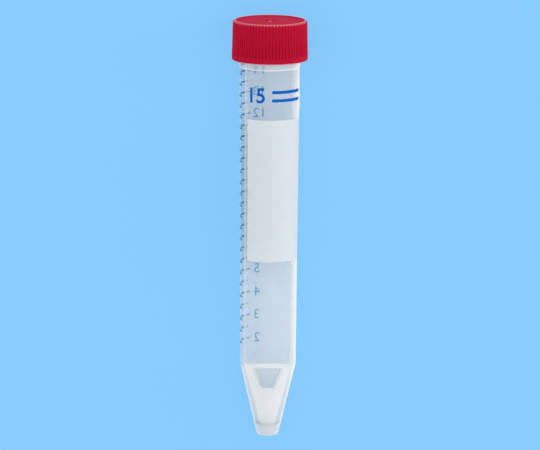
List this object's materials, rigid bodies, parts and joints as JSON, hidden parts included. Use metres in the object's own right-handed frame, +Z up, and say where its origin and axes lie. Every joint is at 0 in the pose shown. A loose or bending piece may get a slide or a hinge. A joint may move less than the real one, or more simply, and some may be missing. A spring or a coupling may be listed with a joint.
{
  "type": "conical centrifuge tube",
  "caption": "Clear moulded centrifuge tube with a conical tip, a graduated wall, a writing area and a ribbed screw cap.",
  "frame": {"origin": "on the surface that the tube lies on, below the middle of its length", "axes": "+Y along the tube towards its cap, which the tube leaves by its resting tilt of about 2 degrees; +Z up; the side that faces up is the front, with the writing area on its right"},
  "size_m": [0.0216, 0.1204, 0.0218],
  "materials": {
    "tube_plastic": "translucent, lightly frosted moulding",
    "cap_plastic": "satin moulding",
    "white_ink": "printed, dull",
    "blue_ink": "printed, dull"
  },
  "bodies": {
    "tube": {"tube": "tube_plastic"},
    "cap": {"cap": "cap_plastic"}
  },
  "joints": [
    {"name": "cap_off", "type": "slide", "parent": "tube", "child": "cap", "axis": [0, 0.9995, 0.0331], "range_m": [0, 0.03]}
  ]
}
